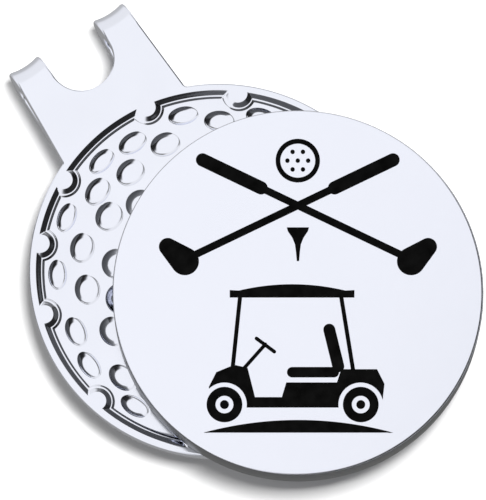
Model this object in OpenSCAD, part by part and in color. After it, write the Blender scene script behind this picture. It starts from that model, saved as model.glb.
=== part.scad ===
/* [Plate] */
// Diameter of the round plate
plate_d = 25.8; // [24:0.1:28]
// Width of the raised rim
rim_w = 0.45; // [0.3:0.05:0.7]
// Drop from the rim to the ledge beside it
rim_drop = 0.25; // [0.2:0.05:0.3]
// Drop from the ledge to the edge of the dimpled field
ledge_drop = 0.15; // [0.1:0.05:0.2]
// Distance from the plate's outline to the dimpled field
field_inset = 0.95; // [0.95:0.05:1.4]
// Height of the field's dome at its middle over its edge
dome_rise = 0.3; // [0.1:0.05:0.3]
// Depth of a dimple
dimple_depth = 0.2; // [0.1:0.05:0.3]

/* [Clip] */
// Thickness of the folded sheet, and of the plate up to the top of its rim
sheet_t = 1.4; // [1.4:0.05:1.6]
// Outer radius of the fold
fold_r = 2.2; // [2.2:0.05:2.6]
// Distance from the plate's centre to the outermost line of the fold
fold_reach = 19.55; // [18.8:0.05:20.5]
// Width of the strip at the fold
fold_w = 9.25; // [8.6:0.05:11]
// Width of the strip where it meets the plate
neck_w = 9.85; // [9.6:0.05:12]
// Width of the notch that splits the fold into two prongs
notch_w = 4.45; // [4.2:0.05:5]
// Distance from the plate's centre to the round bottom of the notch
notch_reach = 15.2; // [14.6:0.05:15.6]
// Distance that the tongue reaches past the plate's centre
tongue_reach = 9.5; // [7:0.5:11]

/* [Magnet] */
// Diameter of the magnet
magnet_d = 10.0; // [8:0.5:11]
// Thickness of the magnet
magnet_t = 0.9; // [0.8:0.05:1]
// Thickness of the adhesive under the magnet
adhesive_t = 0.1; // [0.05:0.01:0.15]
// Clearance around the magnet in its pocket
pocket_gap = 0.05; // [0.03:0.01:0.1]

/* [Marker] */
// Diameter of the marker disc
marker_d = 25.0; // [24:0.1:26]
// Thickness of the marker disc
marker_t = 3.0; // [1.5:0.1:3.2]
// Bevel around both faces of the marker
marker_bevel = 0.15; // [0.1:0.05:0.4]
// Place of the marker's centre across the clip
marker_x = 3.35; // [-4:0.05:4]
// Place of the marker's centre along the clip
marker_y = -4.65; // [-6:0.05:0]
// Turn of the marker's picture about its own axis
marker_turn = -32.8; // [-180:0.1:180]
// Height of the raised print
print_t = 0.12; // [0.08:0.01:0.2]

/* [Hidden] */
$fn = 96;

silver = [0.86, 0.87, 0.90];
steel = [0.62, 0.63, 0.65];
magnet_grey = [0.45, 0.46, 0.48];
glue = [0.80, 0.74, 0.55];
enamel = [0.05, 0.05, 0.06];

plate_r = plate_d / 2;
top_z = 2 * fold_r;
back_z = top_z - sheet_t;
neck_y = sqrt(plate_r * plate_r - neck_w * neck_w / 4);
fold_y = fold_reach - fold_r;
fold_z = fold_r;
notch_r = notch_w / 2;
notch_y = notch_reach + notch_r;
edge_bevel = 0.12;
rim_slope = 0.2;
through = 0.5;

field_r = plate_r - field_inset;
field_z = top_z - rim_drop - ledge_drop;
dome_r = (field_r * field_r + dome_rise * dome_rise) / (2 * dome_rise);

// Half-round lugs along the rim: angles from the neck, turning to the left
lug_angles = [-136, -104, -72, -39, -9, 27, 49, 72, 105, 140, 170];
lug_r = 0.6;
lug_reach = plate_r - 0.65;
lug_ledge = 0.4;

// Rows of dimples as on a ball seen from above: share of the plate's radius, then the angles along that row
dimple_rows = [
    [0.85, [-176, -154, -128, -114, -90, -62, -48, -20, 14, 38, 59, 94, 116, 139, 160]],
    [0.82, [1, 81]],
    [0.80, [-33]],
    [0.765, [24, 106, -75]],
    [0.73, [-145, -122, -96, -52, -10, 48, 129, 150, 172]],
    [0.70, [9, 66]],
    [0.645, [31, 88, -27, -162]],
    [0.54, [-178, -145, -112, -78, -46, -8, 17, 54, 74, 112, 145]]
];
dimple_d = 2.3;

pocket_r = magnet_d / 2 + pocket_gap;
pocket_z = top_z - magnet_t - adhesive_t - 0.05;
magnet_z = pocket_z + adhesive_t;

marker_z = top_z;
face_z = marker_z + marker_t;

// The picture on the marker, measured from the marker's centre
club_x = 7.4;
club_y = 2.3;
club_slope = 26;
club_l = 15.4;
club_shaft_w = 0.5;
club_grip_l = 4.4;
club_grip_w = 0.9;
ball_r = 1.5;
ball_y = 9.0;
tee_y = 4.0;
wheel_x = [-4.95, 4.2];
wheel_y = -7.7;
wheel_r = 1.2;
ground_r = 24;

// A flat strip along the clip from one place to another, tapering from one width to the other
module strip(y_from, y_to, w_from, w_to, z, t) {
    translate([0, 0, z])
        linear_extrude(t)
            polygon([
                [-w_from / 2, y_from],
                [w_from / 2, y_from],
                [w_to / 2, y_to],
                [-w_to / 2, y_to]
            ]);
}

// The round-bottomed notch, open at the fold, cut through everything
module notch_cut() {
    translate([0, notch_y, -through])
        cylinder(r = notch_r, h = top_z + 2 * through);
    translate([-notch_r, notch_y, -through])
        cube([notch_w, fold_reach, top_z + 2 * through]);
}

// The plate's section, turned about its axis: rim, ledge and the foot of the dome
module plate_blank() {
    rotate_extrude()
        polygon([
            [0, back_z],
            [plate_r - edge_bevel, back_z],
            [plate_r, back_z + edge_bevel],
            [plate_r, top_z - edge_bevel],
            [plate_r - edge_bevel, top_z],
            [plate_r - rim_w, top_z],
            [plate_r - rim_w - rim_slope, top_z - rim_drop],
            [field_r, top_z - rim_drop],
            [field_r, field_z],
            [0, field_z]
        ]);
}

// The shallow dome of the field
module field_dome() {
    intersection() {
        translate([0, 0, field_z + dome_rise - dome_r])
            sphere(r = dome_r, $fn = 360);
        translate([0, 0, back_z + sheet_t / 4])
            cylinder(r = field_r, h = sheet_t);
    }
}

// The lugs along the rim, each with the ledge that runs round it
module lugs() {
    intersection() {
        for (angle = lug_angles) {
            rotate([0, 0, 90 + angle])
                translate([lug_reach, 0, back_z + sheet_t / 2]) {
                    cylinder(r = lug_r, h = sheet_t / 2, $fn = 48);
                    cylinder(r = lug_r + lug_ledge, h = sheet_t / 2 - rim_drop, $fn = 48);
                }
        }
        cylinder(r = plate_r - rim_w / 2, h = top_z);
    }
}

// The strip from the plate's rim to the fold
module neck() {
    difference() {
        strip(neck_y, fold_y, neck_w, fold_w, back_z, sheet_t);
        cylinder(r = plate_r - rim_w / 2, h = top_z + through);
    }
}

// One dimple, cut by a sphere; it narrows towards the rim as on a ball seen from above
module dimple(share, angle) {
    reach = share * plate_r;
    d = dimple_d * (0.55 + 0.45 * sqrt(1 - share * share));
    cut_r = (d * d / 4 + dimple_depth * dimple_depth) / (2 * dimple_depth);
    surface_z = field_z + dome_rise - dome_r + sqrt(dome_r * dome_r - reach * reach);
    rotate([0, 0, 90 + angle])
        translate([reach, 0, surface_z - dimple_depth + cut_r])
            sphere(r = cut_r, $fn = 60);
}

module clip_plate() {
    color(silver)
        difference() {
            union() {
                plate_blank();
                field_dome();
                lugs();
                neck();
            }
            for (row = dimple_rows) {
                for (angle = row[1]) {
                    dimple(row[0], angle);
                }
            }
            translate([0, 0, pocket_z])
                cylinder(r = pocket_r, h = sheet_t);
            notch_cut();
        }
}

module clip_fold() {
    color(silver)
        difference() {
            translate([0, fold_y, fold_z])
                rotate([90, 0, 90])
                    rotate([0, 0, -90])
                        rotate_extrude(angle = 180)
                            translate([fold_r - sheet_t, -fold_w / 2])
                                square([sheet_t, fold_w]);
            notch_cut();
        }
}

module clip_tongue() {
    end_r = 3.4;
    color(silver)
        difference() {
            union() {
                strip(0, fold_y, fold_w, fold_w, 0, sheet_t);
                strip(end_r - tongue_reach, 0, 2 * end_r, fold_w, 0, sheet_t);
                translate([0, end_r - tongue_reach, 0])
                    cylinder(r = end_r, h = sheet_t);
            }
            notch_cut();
        }
}

module magnet() {
    color(magnet_grey)
        translate([0, 0, magnet_z])
            cylinder(d = magnet_d, h = magnet_t);
}

module magnet_adhesive() {
    color(glue)
        translate([0, 0, pocket_z])
            cylinder(d = magnet_d - 0.6, h = adhesive_t);
}

module on_marker(z) {
    translate([marker_x, marker_y, z])
        rotate([0, 0, marker_turn])
            children();
}

module marker_blank() {
    r = marker_d / 2;
    color(steel)
        on_marker(marker_z)
            rotate_extrude()
                polygon([
                    [0, 0],
                    [r - marker_bevel, 0],
                    [r, marker_bevel],
                    [r, marker_t - marker_bevel],
                    [r - marker_bevel, marker_t],
                    [0, marker_t]
                ]);
}

// A straight bar with round ends between two points of the picture
module bar(from, to, w) {
    hull() {
        translate(from)
            circle(d = w, $fn = 32);
        translate(to)
            circle(d = w, $fn = 32);
    }
}

// Raised enamel on the marker's face, from a flat shape in the picture's own axes
module enamel_print() {
    color(enamel)
        on_marker(face_z)
            linear_extrude(print_t)
                children();
}

// A golf club lying along +X, its head at the left end
module club() {
    bar([0, 0], [club_l, 0], club_shaft_w);
    bar([club_l - club_grip_l, 0], [club_l, 0], club_grip_w);
    hull() {
        translate([-0.3, -0.1])
            circle(r = 0.95, $fn = 48);
        translate([-0.9, 1.3])
            circle(r = 0.6, $fn = 48);
    }
}

module print_clubs() {
    enamel_print()
        for (side = [0, 1]) {
            mirror([side, 0, 0])
                translate([-club_x, club_y])
                    rotate(club_slope)
                        club();
        }
}

module print_ball() {
    enamel_print() {
        translate([0, ball_y]) {
            difference() {
                circle(r = ball_r);
                circle(r = ball_r - 0.32);
            }
            for (i = [0 : 5]) {
                rotate(i * 60)
                    translate([0.7, 0])
                        circle(r = 0.15, $fn = 24);
            }
            circle(r = 0.15, $fn = 24);
        }
        translate([0, tee_y])
            polygon([
                [-0.75, 0.4],
                [-0.68, 0.15],
                [-0.38, -0.3],
                [-0.2, -0.75],
                [-0.13, -1.3],
                [-0.08, -1.9],
                [0.08, -1.9],
                [0.13, -1.3],
                [0.2, -0.75],
                [0.38, -0.3],
                [0.68, 0.15],
                [0.75, 0.4],
            ]);
    }
}

// Side of the buggy below the seat, with the two wheel arches cut out
module buggy_side() {
    difference() {
        polygon([
            [-6.0, -6.5],
            [-5.5, -5.5],
            [-4.3, -5.0],
            [-3.4, -5.2],
            [-2.9, -7.2],
            [-1.1, -7.2],
            [-0.8, -6.2],
            [2.6, -6.2],
            [2.9, -5.3],
            [5.3, -5.3],
            [5.8, -6.3],
            [5.6, -7.9],
            [-5.9, -7.9]
        ]);
        for (x = wheel_x) {
            translate([x, wheel_y])
                circle(r = wheel_r + 0.3);
        }
    }
}

module print_buggy() {
    enamel_print() {
        buggy_side();
        intersection() {
            translate([-0.4, -14.6])
                circle(r = 15.1, $fn = 180);
            polygon([[-4.6, -0.4], [3.8, -0.4], [3.8, 0.6], [-4.6, 0.6]]);
        }
        bar([-3.9, -0.3], [-4.4, -5.2], 0.28);
        bar([2.9, -0.3], [3.7, -5.4], 0.28);
        bar([-3.7, -5.3], [-2.2, -3.6], 0.24);
        bar([-2.8, -3.2], [-1.6, -4.1], 0.24);
        bar([2.1, -2.6], [2.7, -5.1], 0.8);
        bar([-0.4, -5.5], [2.4, -5.5], 0.7);
    }
}

module print_wheels() {
    enamel_print()
        for (x = wheel_x) {
            translate([x, wheel_y]) {
                difference() {
                    circle(r = wheel_r);
                    circle(r = wheel_r / 2);
                }
                circle(r = wheel_r / 4, $fn = 32);
            }
        }
}

module print_ground() {
    enamel_print()
        intersection() {
            translate([0, -ground_r - 8.75])
                circle(r = ground_r, $fn = 360);
            translate([-7, -9.6])
                square([14, 1]);
        }
}

clip_plate();
clip_fold();
clip_tongue();
magnet();
magnet_adhesive();
marker_blank();
print_clubs();
print_ball();
print_buggy();
print_wheels();
print_ground();
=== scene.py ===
"""A magnetic hat clip with a golf-ball relief, and the coin ball marker that lies on its plate.

Lengths are in millimetres until a mesh is made, and meshes are in metres, in the row frame:
+Z out of the plate, +Y towards the fold, the floor at z = 0.
"""

import bmesh
import bpy
import math
from mathutils import Matrix, Vector
from mathutils.geometry import delaunay_2d_cdt


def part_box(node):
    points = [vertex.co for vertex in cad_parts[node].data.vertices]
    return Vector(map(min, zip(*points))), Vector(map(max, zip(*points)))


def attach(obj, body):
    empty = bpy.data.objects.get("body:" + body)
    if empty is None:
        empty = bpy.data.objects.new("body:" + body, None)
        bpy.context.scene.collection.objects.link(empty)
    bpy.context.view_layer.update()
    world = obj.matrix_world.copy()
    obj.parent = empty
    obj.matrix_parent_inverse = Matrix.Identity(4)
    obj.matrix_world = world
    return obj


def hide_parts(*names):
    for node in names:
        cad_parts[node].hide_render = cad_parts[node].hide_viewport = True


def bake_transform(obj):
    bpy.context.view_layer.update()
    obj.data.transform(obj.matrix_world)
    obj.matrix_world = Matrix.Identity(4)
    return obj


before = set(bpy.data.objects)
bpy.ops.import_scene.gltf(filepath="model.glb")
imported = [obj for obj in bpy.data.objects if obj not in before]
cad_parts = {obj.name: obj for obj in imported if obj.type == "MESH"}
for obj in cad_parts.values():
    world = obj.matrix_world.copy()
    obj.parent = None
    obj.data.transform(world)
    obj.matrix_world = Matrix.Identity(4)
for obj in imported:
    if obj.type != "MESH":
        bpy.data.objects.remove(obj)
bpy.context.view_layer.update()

MM = 0.001


def box_mm(node):
    """A CAD node's lowest and highest corners, in millimetres."""
    low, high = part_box(node)
    return [c / MM for c in low], [c / MM for c in high]


# ---------------------------------------------------------------- sizes taken from the frame
PLATE_LOW, PLATE_HIGH = box_mm("clip_plate")
FOLD_LOW, FOLD_HIGH = box_mm("clip_fold")
TONGUE_LOW, TONGUE_HIGH = box_mm("clip_tongue")
MAGNET_LOW, MAGNET_HIGH = box_mm("magnet")
BLANK_LOW, BLANK_HIGH = box_mm("marker_blank")
PRINT_LOW, PRINT_HIGH = box_mm("print_clubs")

PLATE_R = (PLATE_HIGH[0] - PLATE_LOW[0]) / 2
TOP_Z = PLATE_HIGH[2]
SHEET_T = PLATE_HIGH[2] - PLATE_LOW[2]
FOLD_Y = FOLD_LOW[1]
FOLD_R = TOP_Z / 2
FOLD_HALF_W = FOLD_HIGH[0]
TONGUE_END = TONGUE_LOW[1]
MARKER_X = (BLANK_LOW[0] + BLANK_HIGH[0]) / 2
MARKER_Y = (BLANK_LOW[1] + BLANK_HIGH[1]) / 2
MARKER_R = (BLANK_HIGH[0] - BLANK_LOW[0]) / 2
MARKER_Z = BLANK_LOW[2]
FACE_Z = BLANK_HIGH[2]
PRINT_T = PRINT_HIGH[2] - PRINT_LOW[2]
MAGNET_R = (MAGNET_HIGH[0] - MAGNET_LOW[0]) / 2

# ---------------------------------------------------------------- the clip's own shape
# The outline is the CAD's, with a fillet added where the neck meets the plate and a dip in each prong's end.
# The relief is finer than the CAD's, and its depths and slopes differ a little.
NECK_HALF_W = 4.925
NECK_FILLET = 0.25
NOTCH_R = 2.225
NOTCH_Y = 15.2 + NOTCH_R
TONGUE_TIP_R = 3.4
FIELD_PITCH = 0.3
# How far the middle of each prong's end lies behind its sides
SADDLE = 0.14
# Rounded edge of the sheet: distance in from the outline, drop from the face
EDGE = [(0.18, 0.0), (0.125, 0.0), (0.11, 0.004), (0.062, 0.027), (0.012, 0.062), (0.0, 0.12)]
PRONG_COLUMNS = 10
FOLD_STEPS = 40

RIM_W = 0.45
LUG_ANGLES = [-136, -104, -72, -39, -9, 27, 49, 72, 105, 140, 170]
LUG_R = 0.6
LUG_REACH = PLATE_R - 0.65
# Section from the rim down to the field: distance in from the rim's inner edge, drop from its top
RELIEF = [
    (0.0, 0.0),
    (0.02, 0.004),
    (0.05, 0.018),
    (0.32, 0.182),
    (0.35, 0.196),
    (0.38, 0.20),
    (0.42, 0.20),
    (0.44, 0.204),
    (0.46, 0.214),
    (0.55, 0.284),
    (0.58, 0.297),
    (0.61, 0.30),
]
# Distances at which the mesh follows the section: the rim's wall, then the ledge's
RIM_LOOPS = [-0.06, 0.0, 0.01, 0.02, 0.035, 0.05, 0.14, 0.23, 0.32, 0.335, 0.35, 0.365, 0.38, 0.40]
LEDGE_LOOPS = [0.42, 0.43, 0.44, 0.45, 0.46, 0.505, 0.55, 0.565, 0.58, 0.595, 0.61, 0.70]
FIELD_INSET = RIM_W + RELIEF[-1][0]
DOME_RISE = 0.2

DIMPLE_ROWS = [
    (0.85, [-176, -154, -128, -114, -90, -62, -48, -20, 14, 38, 59, 94, 116, 139, 160]),
    (0.82, [1, 81]),
    (0.80, [-33]),
    (0.765, [24, 106, -75]),
    (0.73, [-145, -122, -96, -52, -10, 48, 129, 150, 172]),
    (0.70, [9, 66]),
    (0.645, [31, 88, -27, -162]),
    (0.54, [-178, -145, -112, -78, -46, -8, 17, 54, 74, 112, 145]),
]
DIMPLE_D = 2.14
# A dimple's length along the plate's radius, as a share of that of a ball's dimple seen from above
DIMPLE_STRETCH = 1.14
DIMPLE_DEPTH = 0.21
# Section of a dimple: share of its radius, share of its depth
DIMPLE_SECTION = [
    (0.0, 1.0),
    (0.54, 0.98),
    (0.64, 0.90),
    (0.72, 0.76),
    (0.87, 0.42),
    (0.975, 0.05),
    (1.0, 0.01),
    (1.03, 0.0),
]
DIMPLE_LOOPS = [0.3, 0.48, 0.54, 0.59, 0.64, 0.68, 0.72, 0.795, 0.87, 0.922, 0.975, 1.0, 1.03, 1.12]
DIMPLE_POINTS = 40

# The magnet's pocket: a little wider and deeper than the magnet
POCKET_R = MAGNET_R + 0.06
POCKET_FLOOR = MAGNET_LOW[2] - 0.1


# ---------------------------------------------------------------- plane geometry
def turned(angle, reach):
    """The point at that reach from the plate's centre, angle degrees to the left of +Y."""
    a = math.radians(angle)
    return (-math.sin(a) * reach, math.cos(a) * reach)


def arc(centre, radius, start, end, steps):
    """Points along an arc, from one angle to another in degrees, both ends included."""
    points = []
    for i in range(steps + 1):
        a = math.radians(start + (end - start) * i / steps)
        points.append((centre[0] + radius * math.cos(a), centre[1] + radius * math.sin(a)))
    return points


def line(start, end, steps):
    """Points along a line, the first included and the last left out."""
    return [
        (start[0] + (end[0] - start[0]) * i / steps, start[1] + (end[1] - start[1]) * i / steps)
        for i in range(steps)
    ]


def mirrored(points):
    """The same chain on the other side of the clip, walked the other way."""
    return [(-x, y) for x, y in reversed(points)]


def inset_chain(points, distance):
    """An open chain moved to its right by a distance; its two ends only move across the clip."""
    moved = []
    last = len(points) - 1
    for i, (x, y) in enumerate(points):
        ax, ay = points[max(i - 1, 0)]
        bx, by = points[min(i + 1, last)]
        length = math.hypot(bx - ax, by - ay)
        nx, ny = (by - ay) / length, -(bx - ax) / length
        if i in (0, last):
            nx, ny = math.copysign(1, nx), 0
        moved.append((x + nx * distance, y + ny * distance))
    return moved


def section(table, at):
    """Straight interpolation in a table of pairs, held at its ends."""
    if at <= table[0][0]:
        return table[0][1]
    for (a, va), (b, vb) in zip(table, table[1:]):
        if at <= b:
            return va + (vb - va) * (at - a) / (b - a)
    return table[-1][1]


def notch_x(y, inset):
    """Half the notch's width at y, plus the inset into the metal."""
    radius = NOTCH_R + inset
    below = max(NOTCH_Y - y, 0)
    return math.sqrt(max(radius * radius - below * below, 0))


def notch_chain(inset):
    """The notch's round bottom from the left prong to the right one."""
    x = notch_x(FOLD_Y, inset)
    angle = math.degrees(math.atan2(NOTCH_Y - FOLD_Y, x))
    return arc((0, NOTCH_Y), NOTCH_R + inset, 180 + angle, 360 - angle, 36)


def front_chain():
    """The outline of neck and plate, from the right prong round the plate to the left prong."""
    top = (FOLD_HALF_W, FOLD_Y)
    foot = (NECK_HALF_W, math.sqrt(PLATE_R**2 - NECK_HALF_W**2))
    dx, dy = foot[0] - top[0], foot[1] - top[1]
    length = math.hypot(dx, dy)
    nx, ny = -dy / length, dx / length
    if nx < 0:
        nx, ny = -nx, -ny
    # Centre of the small fillet between the neck's side and the plate
    sx, sy = top[0] + nx * NECK_FILLET, top[1] + ny * NECK_FILLET
    ux, uy = dx / length, dy / length
    b = sx * ux + sy * uy
    c = sx * sx + sy * sy - (PLATE_R + NECK_FILLET) ** 2
    t = -b - math.sqrt(b * b - c)
    centre = (sx + ux * t, sy + uy * t)
    on_side = (centre[0] - nx * NECK_FILLET, centre[1] - ny * NECK_FILLET)
    start = math.degrees(math.atan2(-ny, -nx))
    if start < 0:
        start += 360
    toward = math.degrees(math.atan2(centre[1], centre[0]))
    side = line(top, on_side, 24) + arc(centre, NECK_FILLET, start, 180 + toward, 8)
    round_part = arc((0, 0), PLATE_R, toward, -180 - toward, 720)
    return side + round_part[1:-1] + mirrored(side)


def tongue_chain():
    """The tongue's outline, from the right prong round its end to the left prong."""
    tip_y = TONGUE_END + TONGUE_TIP_R
    side = line((FOLD_HALF_W, FOLD_Y), (FOLD_HALF_W, 0), 60)
    side += line((FOLD_HALF_W, 0), (TONGUE_TIP_R, tip_y), 30)
    return side + arc((0, tip_y), TONGUE_TIP_R, 0, -180, 64) + mirrored(side)


def prong_columns(inset):
    """Places across the right prong at the fold's start, from the notch to the outer side."""
    inner = notch_x(FOLD_Y, inset)
    outer = FOLD_HALF_W - inset
    return [inner + (outer - inner) * i / PRONG_COLUMNS for i in range(PRONG_COLUMNS + 1)]


def outline_loop(chain, inset):
    """A closed loop at that inset: the outer chain, then along the prong ends and round the notch."""
    columns = prong_columns(inset)
    loop = inset_chain(chain, inset)
    loop += [(-x, FOLD_Y) for x in reversed(columns[1:-1])]
    loop += notch_chain(inset)
    loop += [(x, FOLD_Y) for x in columns[1:-1]]
    return loop


def rim_loop(distance):
    """The closed line that lies a distance in from the rim and its half-round lugs."""
    radius = PLATE_R - RIM_W - distance
    lug = LUG_R + distance
    cos_join = (radius**2 + LUG_REACH**2 - lug**2) / (2 * radius * LUG_REACH)
    join = math.degrees(math.acos(cos_join))
    from_lug = math.degrees(math.acos((radius * cos_join - LUG_REACH) / lug))
    angles = sorted(LUG_ANGLES)
    loop = []
    for i, angle in enumerate(angles):
        centre = turned(angle, LUG_REACH)
        loop += arc(centre, lug, 90 + angle + 360 - from_lug, 90 + angle + from_lug, 26)[::-1]
        following = angles[(i + 1) % len(angles)] + (360 if i + 1 == len(angles) else 0)
        gap_start, gap_end = angle + join, following - join
        steps = max(int((gap_end - gap_start) * 2), 2)
        loop += arc((0, 0), radius, 90 + gap_start, 90 + gap_end, steps)[1:-1]
    return loop


def dimples():
    """Each dimple: its centre, its direction from the plate's centre, and its radii along and across that."""
    found = []
    for share, angles in DIMPLE_ROWS:
        squeeze = math.sqrt(1 - share * share)
        for angle in angles:
            centre = turned(angle, share * PLATE_R)
            outward = turned(angle, 1)
            found.append((centre, outward, DIMPLE_D / 2 * squeeze * DIMPLE_STRETCH, DIMPLE_D / 2))
    return found


DIMPLES = dimples()


def dimple_loop(dimple, share):
    """The ellipse at that share of a dimple's radius."""
    (cx, cy), (ox, oy), along, across = dimple
    loop = []
    for i in range(DIMPLE_POINTS):
        a = 2 * math.pi * i / DIMPLE_POINTS
        u, v = along * share * math.cos(a), across * share * math.sin(a)
        loop.append((cx + ox * u - oy * v, cy + oy * u + ox * v))
    return loop


def rim_distance(x, y):
    """How far a point lies in from the rim and the lugs; negative on them."""
    nearest = PLATE_R - RIM_W - math.hypot(x, y)
    for angle in LUG_ANGLES:
        lx, ly = turned(angle, LUG_REACH)
        nearest = min(nearest, math.hypot(x - lx, y - ly) - LUG_R)
    return nearest


def dimple_drop(x, y):
    """How deep the dimples are at a point."""
    drop = 0
    for (cx, cy), (ox, oy), along, across in DIMPLES:
        dx, dy = x - cx, y - cy
        if abs(dx) < DIMPLE_D and abs(dy) < DIMPLE_D:
            share = math.hypot((dx * ox + dy * oy) / along, (dy * ox - dx * oy) / across)
            drop = max(drop, DIMPLE_DEPTH * section(DIMPLE_SECTION, share))
    return drop


def relief_z(x, y):
    """Height of the plate's front at a point."""
    reach = math.hypot(x, y)
    if reach > PLATE_R - RIM_W + 0.01:
        return TOP_Z
    if reach < POCKET_R - 0.01:
        return POCKET_FLOOR
    distance = rim_distance(x, y)
    drop = section(RELIEF, distance)
    ease = section([(RIM_W, 0.0), (FIELD_INSET + 0.3, 1.0)], distance + RIM_W)
    rise = DOME_RISE * (1 - (reach / (PLATE_R - FIELD_INSET)) ** 2) * ease
    return TOP_Z - drop + max(rise, 0) - dimple_drop(x, y)


def loop_area(loop):
    """Signed area of a closed loop."""
    return sum(a[0] * b[1] - b[0] * a[1] for a, b in zip(loop, loop[1:] + loop[:1])) / 2


def indexed(loops):
    """Each loop's point numbers, taken anticlockwise, and all the points."""
    faces, verts = [], []
    for loop in loops:
        face = list(range(len(verts), len(verts) + len(loop)))
        faces.append(face if loop_area(loop) > 0 else face[::-1])
        verts += [Vector(p) for p in loop]
    return faces, verts


def triangulate(loops, points=()):
    """Triangles over a plane area: the first loop bounds it, and every loop and point is kept in the mesh."""
    faces, verts = indexed(loops)
    verts += [Vector(p) for p in points]
    edges = [(f[i], f[(i + 1) % len(f)]) for f in faces for i in range(len(f))]
    out = delaunay_2d_cdt(verts, edges, [faces[0]], 0, 1e-6, True)
    keep = [list(f) for f, source in zip(out[2], out[5]) if source]
    return [(v.x, v.y) for v in out[0]], keep


# ---------------------------------------------------------------- meshes
def finish_mesh(name, bm, sharp=40):
    """Turns a millimetre bmesh into a smooth-shaded object in metres."""
    bmesh.ops.remove_doubles(bm, verts=bm.verts, dist=0.0015)
    bmesh.ops.dissolve_degenerate(bm, dist=0.0005, edges=bm.edges)
    bmesh.ops.recalc_face_normals(bm, faces=bm.faces)
    bmesh.ops.transform(bm, matrix=Matrix.Scale(MM, 4), verts=bm.verts)
    mesh = bpy.data.meshes.new(name)
    bm.to_mesh(mesh)
    bm.free()
    mesh.shade_smooth()
    mesh.set_sharp_from_angle(angle=math.radians(sharp))
    piece = bpy.data.objects.new(name, mesh)
    bpy.context.scene.collection.objects.link(piece)
    return piece


def add_patch(bm, points, faces, height, flip=False):
    """Adds a triangulated patch, each point at the height that the function gives."""
    verts = [bm.verts.new((x, y, height(x, y))) for x, y in points]
    for face in faces:
        corners = [verts[i] for i in (reversed(face) if flip else face)]
        bm.faces.new(corners)


def add_wall(bm, rows):
    """Adds quads between successive rows of equally many points."""
    made = [[bm.verts.new(p) for p in row] for row in rows]
    for upper, lower in zip(made, made[1:]):
        for i in range(len(upper) - 1):
            bm.faces.new((upper[i], upper[i + 1], lower[i + 1], lower[i]))


def edge_rows(chain_at, top, bottom):
    """Rows down a sheet's edge, from the inset on its upper face to that on its lower face."""
    rows = []
    for inset, drop in EDGE:
        rows.append([(x, y, top - drop) for x, y in chain_at(inset)])
    for inset, drop in reversed(EDGE):
        rows.append([(x, y, bottom + drop) for x, y in chain_at(inset)])
    return rows


def field_points():
    """Evenly spread points that keep the domed field's triangles small."""
    points = []
    row_pitch = FIELD_PITCH * math.sqrt(3) / 2
    rows = int(PLATE_R / row_pitch)
    for j in range(-rows, rows + 1):
        for i in range(-rows - 2, rows + 3):
            x, y = (i + (j % 2) / 2) * FIELD_PITCH, j * row_pitch
            if not POCKET_R + 0.2 < math.hypot(x, y) < PLATE_R - FIELD_INSET - 0.1:
                continue
            if rim_distance(x, y) < LEDGE_LOOPS[-1] + 0.1:
                continue
            if any(
                math.hypot(
                    ((x - c[0]) * o[0] + (y - c[1]) * o[1]) / (along * DIMPLE_LOOPS[-1] + 0.1),
                    ((y - c[1]) * o[0] - (x - c[0]) * o[1]) / (across * DIMPLE_LOOPS[-1] + 0.1),
                )
                < 1
                for c, o, along, across in DIMPLES
            ):
                continue
            points.append((x, y))
    return points


def add_front(bm):
    """Plate and neck: relief on the front, rounded edges, flat back."""
    chain = front_chain()
    loops = [outline_loop(chain, EDGE[0][0])]
    loops += [rim_loop(d) for d in RIM_LOOPS + LEDGE_LOOPS]
    loops += [dimple_loop(d, share) for d in DIMPLES for share in DIMPLE_LOOPS]
    for radius in (POCKET_R + 0.15, POCKET_R + 0.05, POCKET_R, POCKET_R - 0.02, POCKET_R - 0.3):
        loops.append(arc((0, 0), radius, 0, 360, 180)[:-1])
    centres = [c for c, o, along, across in DIMPLES]
    points, faces = triangulate(loops, field_points() + centres)
    add_patch(bm, points, faces, relief_z)
    back = TOP_Z - SHEET_T
    points, faces = triangulate([outline_loop(chain, EDGE[0][0])])
    add_patch(bm, points, faces, lambda x, y: back, flip=True)
    add_wall(bm, edge_rows(lambda inset: inset_chain(chain, inset), TOP_Z, back))
    add_wall(bm, edge_rows(notch_chain, TOP_Z, back))


def add_tongue(bm):
    """The flat leaf behind the plate."""
    chain = tongue_chain()
    loop = outline_loop(chain, EDGE[0][0])
    points, faces = triangulate([loop])
    add_patch(bm, points, faces, lambda x, y: SHEET_T)
    add_patch(bm, points, faces, lambda x, y: 0, flip=True)
    add_wall(bm, edge_rows(lambda inset: inset_chain(chain, inset), SHEET_T, 0))
    add_wall(bm, edge_rows(notch_chain, SHEET_T, 0))


def fold_point(across, inset_in, inset_out, depth, angle):
    """A point of the right prong's bend: across from 0 at the notch to 1 at the outer side."""
    sag = SADDLE * math.cos(angle) ** 2 * (1 - (2 * across - 1) ** 2)
    radius = FOLD_R - depth - sag
    y = FOLD_Y + radius * math.cos(angle)
    z = FOLD_R + radius * math.sin(angle)
    inner = notch_x(y, inset_in)
    outer = FOLD_HALF_W - inset_out
    return (inner + (outer - inner) * across, y, z)


def fold_ring(angle):
    """The prong's rounded section at one angle of the bend, as a closed ring of points."""
    flat = EDGE[0][0]
    ring = []
    for i in range(PRONG_COLUMNS + 1):
        ring.append(fold_point(i / PRONG_COLUMNS, flat, flat, 0, angle))
    for inset, drop in EDGE[1:]:
        ring.append(fold_point(1, flat, inset, drop, angle))
    for inset, drop in reversed(EDGE[1:]):
        ring.append(fold_point(1, flat, inset, SHEET_T - drop, angle))
    for i in range(PRONG_COLUMNS, -1, -1):
        ring.append(fold_point(i / PRONG_COLUMNS, flat, flat, SHEET_T, angle))
    for inset, drop in EDGE[1:]:
        ring.append(fold_point(0, inset, flat, SHEET_T - drop, angle))
    for inset, drop in reversed(EDGE[1:]):
        ring.append(fold_point(0, inset, flat, drop, angle))
    return ring + ring[:1]


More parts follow.
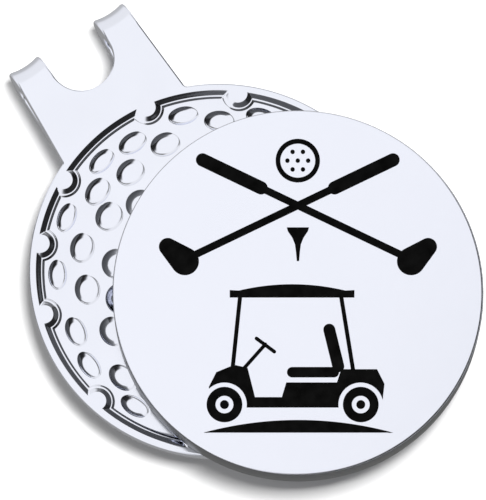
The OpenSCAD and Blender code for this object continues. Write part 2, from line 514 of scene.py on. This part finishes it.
def add_fold(bm):
    """The two prongs, bent through half a turn round the fold's centre."""
    for side in (1, -1):
        rows = []
        for i in range(FOLD_STEPS + 1):
            angle = math.pi / 2 - math.pi * i / FOLD_STEPS
            rows.append([(side * x, y, z) for x, y, z in fold_ring(angle)])
        add_wall(bm, rows)


def make_clip():
    """The whole clip, one folded sheet that bends between the plate and the tongue."""
    bm = bmesh.new()
    add_front(bm)
    add_fold(bm)
    add_tongue(bm)
    return finish_mesh("clip_sheet", bm)


def make_disc(name, centre, radius, low, high, edge, segments=256):
    """A round disc with rounded edges, turned from its section."""
    table = [(radius - i, high - d) for i, d in edge] + [(radius - i, low + d) for i, d in reversed(edge)]
    bm = bmesh.new()
    rows = []
    for r, z in table:
        rows.append([(x, y, z) for x, y in arc(centre, r, 0, 360, segments)])
    add_wall(bm, rows)
    for row in (rows[0], rows[-1]):
        bm.faces.new([bm.verts.new(p) for p in row[:-1]])
    return finish_mesh(name, bm)


# ---------------------------------------------------------------- the raised print
# Section of the print's edge: distance in from its outline, share of its height
PRINT_EDGE = [(0.0, 0.0), (0.0, 0.45), (0.025, 0.8), (0.07, 1.0)]

CLUB_START = (-7.4, 2.3)
CLUB_SLOPE = 26
CLUB_L = 15.4
CLUB_SHAFT_W = 0.5
CLUB_GRIP_L = 4.4
CLUB_GRIP_W = 0.9
BALL_R = 1.5
BALL_Y = 9.0
TEE_Y = 4.0
WHEEL_X = [-4.95, 4.2]
WHEEL_Y = -7.7
WHEEL_R = 1.2
GROUND_R = 24
GROUND_TOP = -8.75
GROUND_LOW = -9.6


def disc(x, y, radius, steps=48):
    """A round outline."""
    return arc((x, y), radius, 0, 360, steps)[:-1]


def bar(start, end, width):
    """A straight bar with round ends."""
    a = math.degrees(math.atan2(end[1] - start[1], end[0] - start[0]))
    r = width / 2
    return arc(end, r, a - 90, a + 90, 14) + arc(start, r, a + 90, a + 270, 14)


def hull_of(a, ra, b, rb):
    """The outline round two discs of different radii."""
    angle = math.atan2(b[1] - a[1], b[0] - a[0])
    spread = math.acos((ra - rb) / math.hypot(b[0] - a[0], b[1] - a[1]))
    lo, hi = math.degrees(angle - spread), math.degrees(angle + spread)
    return arc(b, rb, lo, hi, 20) + arc(a, ra, hi, lo + 360, 24)


def moved(loop, angle, dx, dy, flip=1):
    """A loop turned about the origin, moved, and mirrored if flip is -1."""
    c, s = math.cos(math.radians(angle)), math.sin(math.radians(angle))
    points = [(flip * (x * c - y * s + dx), x * s + y * c + dy) for x, y in loop]
    return points if flip > 0 else points[::-1]


def merged(solids, holes=()):
    """The outlines of solids together less the holes: outer ones anticlockwise, inner ones clockwise."""
    faces, verts = indexed(list(solids) + list(holes))
    out = delaunay_2d_cdt(verts, [], faces, 0, 1e-5, True)
    kept = []
    for triangle, source in zip(out[2], out[5]):
        if any(i < len(solids) for i in source) and not any(i >= len(solids) for i in source):
            kept.append(triangle)
    inside = {(t[i], t[(i + 1) % 3]) for t in kept for i in range(3)}
    following = {a: b for a, b in inside if (b, a) not in inside}
    result = []
    while following:
        first, at = following.popitem()
        loop = [first]
        while at != first:
            loop.append(at)
            at = following.pop(at)
        result.append([(out[0][i].x, out[0][i].y) for i in loop])
    return result


def inset_loop(loop, distance):
    """A closed loop moved to its left, into the solid, with mitred corners."""
    points = []
    count = len(loop)
    for i in range(count):
        (ax, ay), (x, y), (bx, by) = loop[i - 1], loop[i], loop[(i + 1) % count]
        la, lb = math.hypot(x - ax, y - ay), math.hypot(bx - x, by - y)
        n1 = (-(y - ay) / la, (x - ax) / la)
        n2 = (-(by - y) / lb, (bx - x) / lb)
        mx, my = n1[0] + n2[0], n1[1] + n2[1]
        scale = distance / max((mx * mx + my * my) / 2, 0.5)
        points.append((x + mx * scale, y + my * scale))
    return points


def tidy_loop(loop):
    """Drops points that lie almost on the one before."""
    kept = [loop[0]]
    for p in loop[1:]:
        if math.dist(p, kept[-1]) > 0.01:
            kept.append(p)
    if math.dist(kept[-1], kept[0]) < 0.01:
        kept.pop()
    return kept


def make_print(name, solids, holes=()):
    """Raised enamel with a bevelled edge, on the marker's face."""
    loops = [tidy_loop(loop) for loop in merged(solids, holes)]
    outer_first = sorted(loops, key=lambda loop: -abs(loop_area(loop)))
    bm = bmesh.new()
    for loop in outer_first:
        rows = []
        for inset, share in PRINT_EDGE:
            moved_in = inset_loop(loop, inset)
            rows.append([(x, y, share * PRINT_T) for x, y in moved_in + moved_in[:1]])
        add_wall(bm, rows)
    for inset, share in (PRINT_EDGE[0], PRINT_EDGE[-1]):
        rings = [inset_loop(loop, inset) for loop in outer_first]
        points, faces = fill(rings)
        add_patch(bm, points, faces, lambda x, y, z=share * PRINT_T: z, flip=share == 0)
    turn = Matrix.Rotation(math.radians(PICTURE_TURN), 4, "Z")
    place = Matrix.Translation((MARKER_X, MARKER_Y, FACE_Z)) @ turn
    bmesh.ops.transform(bm, matrix=place, verts=bm.verts)
    return finish_mesh(name, bm, 25)


def fill(rings):
    """Triangles inside anticlockwise rings and outside clockwise ones."""
    faces, verts = indexed(rings)
    out = delaunay_2d_cdt(verts, [], faces, 0, 1e-6, True)
    sign = [1 if loop_area(ring) > 0 else -1 for ring in rings]
    kept = [list(f) for f, source in zip(out[2], out[5]) if sum(sign[i] for i in source) > 0]
    return [(v.x, v.y) for v in out[0]], kept


def club_loops(flip):
    """Shaft, grip and head of one club."""
    parts = [
        bar((0, 0), (CLUB_L, 0), CLUB_SHAFT_W),
        bar((CLUB_L - CLUB_GRIP_L, 0), (CLUB_L, 0), CLUB_GRIP_W),
        hull_of((-0.3, -0.1), 0.95, (-0.9, 1.3), 0.6),
    ]
    return [moved(loop, CLUB_SLOPE, *CLUB_START, flip) for loop in parts]


def make_clubs():
    return make_print("enamel_clubs", club_loops(1) + club_loops(-1))


def make_ball():
    flank = [(0.75, 0.4), (0.68, 0.15), (0.38, -0.3), (0.2, -0.75), (0.13, -1.3), (0.08, -1.9)]
    tee = [(-x, TEE_Y + y) for x, y in flank] + [(x, TEE_Y + y) for x, y in reversed(flank)]
    solids = [disc(0, BALL_Y, BALL_R, 72)]
    holes = [disc(0, BALL_Y, BALL_R - 0.32, 64)]
    dots = [disc(0, BALL_Y, 0.15, 20)]
    for i in range(6):
        a = math.radians(60 * i)
        dots.append(disc(0.7 * math.cos(a), BALL_Y + 0.7 * math.sin(a), 0.15, 20))
    ring = make_print("enamel_ball", solids, holes)
    others = make_print("enamel_tee", [tee] + dots)
    return [ring, others]


def buggy_side():
    """The buggy's side below the seat, before its wheel arches are cut."""
    return [
        (-5.9, -7.9),
        (5.6, -7.9),
        (5.8, -6.3),
        (5.3, -5.3),
        (2.9, -5.3),
        (2.6, -6.2),
        (-0.8, -6.2),
        (-1.1, -7.2),
        (-2.9, -7.2),
        (-3.4, -5.2),
        (-4.3, -5.0),
        (-5.5, -5.5),
        (-6.0, -6.5),
    ]


def make_buggy():
    roof_top = arc((-0.4, -14.6), 15.1, 75, 105, 24)[1:-1]
    roof = [(-4.6, -0.4), (3.8, -0.4), (3.8, 0.1)] + roof_top + [(-4.6, 0.1)]
    posts = [bar((-3.9, -0.3), (-4.4, -5.2), 0.28), bar((2.9, -0.3), (3.7, -5.4), 0.28)]
    steering = [bar((-3.7, -5.3), (-2.2, -3.6), 0.24), bar((-2.8, -3.2), (-1.6, -4.1), 0.24)]
    seat = [bar((2.1, -2.6), (2.7, -5.1), 0.8), bar((-0.4, -5.5), (2.4, -5.5), 0.7)]
    arches = [disc(x, WHEEL_Y, WHEEL_R + 0.3, 64) for x in WHEEL_X]
    return make_print("enamel_buggy", [buggy_side(), roof] + posts + steering + seat, arches)


def make_wheels():
    rims = [disc(x, WHEEL_Y, WHEEL_R, 64) for x in WHEEL_X]
    hubs = [disc(x, WHEEL_Y, WHEEL_R / 2, 40) for x in WHEEL_X]
    tyres = make_print("enamel_wheels", rims, hubs)
    caps = make_print("enamel_hubs", [disc(x, WHEEL_Y, WHEEL_R / 4, 28) for x in WHEEL_X])
    return [tyres, caps]


def make_ground():
    half = math.degrees(math.acos((GROUND_R - (GROUND_TOP - GROUND_LOW)) / GROUND_R))
    loop = arc((0, GROUND_TOP - GROUND_R), GROUND_R, 90 - half, 90 + half, 60)
    return make_print("enamel_ground", [loop])


# ---------------------------------------------------------------- materials
def new_material(name):
    """An empty node material, its tree and its Principled shader."""
    material = bpy.data.materials.new(name)
    material.use_nodes = True
    tree = material.node_tree
    shader = tree.nodes["Principled BSDF"]
    return material, tree, shader


def add_node(tree, kind, **values):
    """Adds a node; keywords with a capital set its sockets, the others its properties."""
    node = tree.nodes.new(kind)
    for key, value in values.items():
        if key[0].isupper():
            node.inputs[key].default_value = value
        else:
            setattr(node, key, value)
    return node


def object_noise(tree, scale, detail, stretch=(1, 1, 1)):
    """Noise in the object's own coordinates; scale is in cycles per metre."""
    coords = add_node(tree, "ShaderNodeTexCoord")
    mapping = add_node(tree, "ShaderNodeMapping", Scale=stretch)
    tree.links.new(coords.outputs["Object"], mapping.inputs["Vector"])
    noise = add_node(tree, "ShaderNodeTexNoise", Scale=scale, Detail=detail)
    tree.links.new(mapping.outputs["Vector"], noise.inputs["Vector"])
    return noise


def ramp(tree, source, stops):
    """A colour ramp over a value."""
    node = tree.nodes.new("ShaderNodeValToRGB")
    elements = node.color_ramp.elements
    while len(elements) < len(stops):
        elements.new(0.5)
    for element, (position, colour) in zip(elements, stops):
        element.position = position
        element.color = (*colour, 1)
    tree.links.new(source, node.inputs["Fac"])
    return node


def add_bump(tree, shader, source, distance):
    """Bumps the shader's surface by a value; distance is in metres."""
    bump = add_node(tree, "ShaderNodeBump", Strength=1.0, Distance=distance)
    tree.links.new(source, bump.inputs["Height"])
    tree.links.new(bump.outputs["Normal"], shader.inputs["Normal"])


def grey(level):
    return (level, level, level)


def plated_metal(name, tone, rough, mottle, wear, brush=(1, 1, 1)):
    """Bright plated metal: soft tonal clouding, fine handling marks and a faint orange-peel surface."""
    material, tree, shader = new_material(name)
    shader.inputs["Metallic"].default_value = 1.0
    cloud = object_noise(tree, 220, 3)
    low = tuple(c * (1 - mottle) for c in tone)
    colour = ramp(tree, cloud.outputs["Fac"], [(0.3, low), (0.7, tone)])
    tree.links.new(colour.outputs["Color"], shader.inputs["Base Color"])
    marks = object_noise(tree, 1800, 4, brush)
    smooth, worn = grey(rough * (1 - wear)), grey(rough * (1 + wear))
    roughness = ramp(tree, marks.outputs["Fac"], [(0.35, smooth), (0.75, worn)])
    tree.links.new(roughness.outputs["Color"], shader.inputs["Roughness"])
    peel = object_noise(tree, 900, 2, brush)
    add_bump(tree, shader, peel.outputs["Fac"], 0.0000003)
    return material


def enamel():
    """Black enamel with a slightly uneven flow."""
    material, tree, shader = new_material("black_enamel")
    shader.inputs["Specular IOR Level"].default_value = 0.01
    flow = object_noise(tree, 1200, 3)
    colour = ramp(tree, flow.outputs["Fac"], [(0.3, grey(0.0006)), (0.8, grey(0.002))])
    tree.links.new(colour.outputs["Color"], shader.inputs["Base Color"])
    sheen = ramp(tree, flow.outputs["Fac"], [(0.3, grey(0.22)), (0.8, grey(0.32))])
    tree.links.new(sheen.outputs["Color"], shader.inputs["Roughness"])
    add_bump(tree, shader, flow.outputs["Fac"], 0.000002)
    return material


def adhesive():
    """Cured amber epoxy with small clouds in it."""
    material, tree, shader = new_material("cured_adhesive")
    cloud = object_noise(tree, 900, 3)
    colour = ramp(tree, cloud.outputs["Fac"], [(0.3, (0.55, 0.44, 0.22)), (0.7, (0.72, 0.62, 0.38))])
    tree.links.new(colour.outputs["Color"], shader.inputs["Base Color"])
    shader.inputs["Roughness"].default_value = 0.35
    add_bump(tree, shader, cloud.outputs["Fac"], 0.00001)
    return material


def assign(piece, *materials):
    """Gives a piece its materials in order."""
    piece.data.materials.clear()
    for material in materials:
        piece.data.materials.append(material)


# ---------------------------------------------------------------- the pieces
PICTURE_TURN = -32.8
MARKER_EDGE = [(0.18, 0.0), (0.14, 0.003), (0.09, 0.016), (0.045, 0.045), (0.012, 0.09), (0.0, 0.15)]
MAGNET_EDGE = [(0.2, 0.0), (0.1, 0.02), (0.03, 0.07), (0.0, 0.15)]

silver = plated_metal("silver_plating", (0.82, 0.84, 0.92), 0.12, 0.03, 0.15)
nickel = plated_metal("nickel_plating", (0.62, 0.61, 0.60), 0.22, 0.05, 0.15)
face_metal = plated_metal("marker_face_silver", (0.83, 0.85, 0.935), 0.2, 0.006, 0.04)
# The marker's side is the same plated steel as its face; its near-black tone is painted shade, standing in
# for the dark reflection along the side.
edge_painted_shade = plated_metal("marker_edge_painted_shade", (0.11, 0.113, 0.118), 0.4, 0.08, 0.15, (1, 1, 8))
black = enamel()

clip = make_clip()
assign(clip, silver)
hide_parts("clip_plate", "clip_fold", "clip_tongue")
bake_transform(clip)

magnet = make_disc("magnet_disc", (0, 0), MAGNET_R, MAGNET_LOW[2], MAGNET_HIGH[2], MAGNET_EDGE)
assign(magnet, nickel)
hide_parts("magnet")
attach(magnet, "clip")

blank = make_disc("marker_disc", (MARKER_X, MARKER_Y), MARKER_R, MARKER_Z, FACE_Z, MARKER_EDGE, 384)
assign(blank, face_metal, edge_painted_shade)
# The steep faces round the side take the second material, whose dark tone is painted shade.
for polygon in blank.data.polygons:
    if abs(polygon.normal.z) < 0.75:
        polygon.material_index = 1
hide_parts("marker_blank")
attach(blank, "marker")

PRINTS = {
    "print_clubs": [make_clubs()],
    "print_ball": make_ball(),
    "print_buggy": [make_buggy()],
    "print_wheels": make_wheels(),
    "print_ground": [make_ground()],
}
for node, pieces in PRINTS.items():
    for piece in pieces:
        assign(piece, black)
        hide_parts(node)
        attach(piece, "marker")

assign(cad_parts["magnet_adhesive"], adhesive())

# ---------------------------------------------------------------- floor, light and camera
VIEW_AZIMUTH = -32.8
VIEW_ELEVATION = 79.5
VIEW_HEIGHT = 33.98
VIEW_DISTANCE = 400
SKY_STRENGTH = 1.06
KEY_DISTANCE = 300
KEY_SIZE = 75
KEY_POWER = 2.5
FRAME_RIGHT = 1.63
FRAME_UP = 1.314


def view_axes():
    """The camera's right, level up and back directions."""
    a, e = math.radians(VIEW_AZIMUTH), math.radians(VIEW_ELEVATION)
    right = Vector((math.cos(a), math.sin(a), 0))
    level_up = Vector((-math.sin(a), math.cos(a), 0))
    back = Vector((math.sin(a) * math.cos(e), -math.cos(a) * math.cos(e), math.sin(e)))
    return right, level_up, back


def make_floor():
    """A pale, faintly mottled table."""
    bpy.ops.mesh.primitive_plane_add(size=1.2, location=(0, 0, -0.00002))
    floor = bpy.context.object
    floor.name = "floor"
    material, tree, shader = new_material("pale_table")
    cloud = object_noise(tree, 60, 4)
    colour = ramp(tree, cloud.outputs["Fac"], [(0.2, grey(0.44)), (0.8, grey(0.46))])
    tree.links.new(colour.outputs["Color"], shader.inputs["Base Color"])
    shader.inputs["Roughness"].default_value = 0.9
    floor.data.materials.append(material)
    floor.visible_glossy = False


def make_world(right, level_up):
    """A studio sky: bright, with a low dark band except past the fold, and a dark screen at the right."""
    world = bpy.data.worlds.new("studio")
    bpy.context.scene.world = world
    world.use_nodes = True
    tree = world.node_tree
    coords = add_node(tree, "ShaderNodeTexCoord")

    def shade(direction, stops):
        """A grey ramp over how far the view points in a direction, from -1 to 1."""
        along = add_node(tree, "ShaderNodeVectorMath", operation="DOT_PRODUCT")
        along.inputs[1].default_value = direction / 2
        tree.links.new(coords.outputs["Generated"], along.inputs[0])
        shifted = add_node(tree, "ShaderNodeMath", operation="ADD")
        shifted.inputs[1].default_value = 0.5
        tree.links.new(along.outputs["Value"], shifted.inputs[0])
        return ramp(tree, shifted.outputs["Value"], [((at + 1) / 2, grey(level)) for at, level in stops])

    up = Vector((0, 0, 1))
    level = shade(
        up,
        [(-0.95, 0.3), (-0.85, 0.5), (-0.55, 0.55), (-0.3, 0.85), (-0.1, 0.9), (0.4, 0.9), (0.52, 1.0)],
    )
    band = shade(up, [(0.25, 1.0), (0.33, 0.17), (0.42, 0.17), (0.52, 1.0)])
    beside_fold = shade(Vector((0, 1, 0)), [(0.78, 1.0), (0.88, 0.0)])
    side = shade(level_up * 0.4 - right * 0.9, [(-0.42, 0.02), (-0.28, 0.12), (-0.16, 0.8), (-0.08, 1.0)])
    above = shade(up, [(0.25, 0.0), (0.35, 1.0)])

    def darken(colour, by, where):
        """Multiplies a colour by a ramp, as far as another ramp says."""
        mix = add_node(tree, "ShaderNodeMix", data_type="RGBA", blend_type="MULTIPLY")
        tree.links.new(where.outputs["Color"], mix.inputs[0])
        tree.links.new(colour, mix.inputs[6])
        tree.links.new(by.outputs["Color"], mix.inputs[7])
        return mix.outputs[2]

    sky = darken(level.outputs["Color"], band, beside_fold)
    sky = darken(sky, side, above)
    background = tree.nodes["Background"]
    tree.links.new(sky, background.inputs["Color"])
    background.inputs["Strength"].default_value = SKY_STRENGTH


def make_light(name, direction, distance, size, power, target):
    """A square softbox that points at the target; it lights the floor and isn't mirrored in the metal."""
    data = bpy.data.lights.new(name, "AREA")
    data.shape = "SQUARE"
    data.size = size * MM
    data.energy = power
    light = bpy.data.objects.new(name, data)
    light.location = target + direction.normalized() * distance * MM
    light.rotation_euler = direction.to_track_quat("Z", "Y").to_euler()
    light.visible_glossy = False
    bpy.context.scene.collection.objects.link(light)


def make_camera(target, back, level_up):
    """A long lens at the viewing angle, with the picture's up as level_up."""
    data = bpy.data.cameras.new("camera")
    data.sensor_fit = "VERTICAL"
    data.sensor_height = 24
    data.lens = 24 * VIEW_DISTANCE / VIEW_HEIGHT
    data.clip_start = 0.01
    camera = bpy.data.objects.new("camera", data)
    camera.location = target + back * VIEW_DISTANCE * MM
    camera.rotation_euler = back.to_track_quat("Z", "Y").to_euler()
    bpy.context.scene.collection.objects.link(camera)
    bpy.context.scene.camera = camera


bpy.context.scene.view_settings.view_transform = "Standard"
right, level_up, back = view_axes()
target = (right * FRAME_RIGHT + level_up * FRAME_UP + Vector((0, 0, TOP_Z))) * MM
make_floor()
make_world(right, level_up)
key_side = right * 0.13 + level_up * 0.02 + Vector((0, 0, 1))
make_light("key", key_side, KEY_DISTANCE, KEY_SIZE, KEY_POWER, target)
make_camera(target, back, level_up)
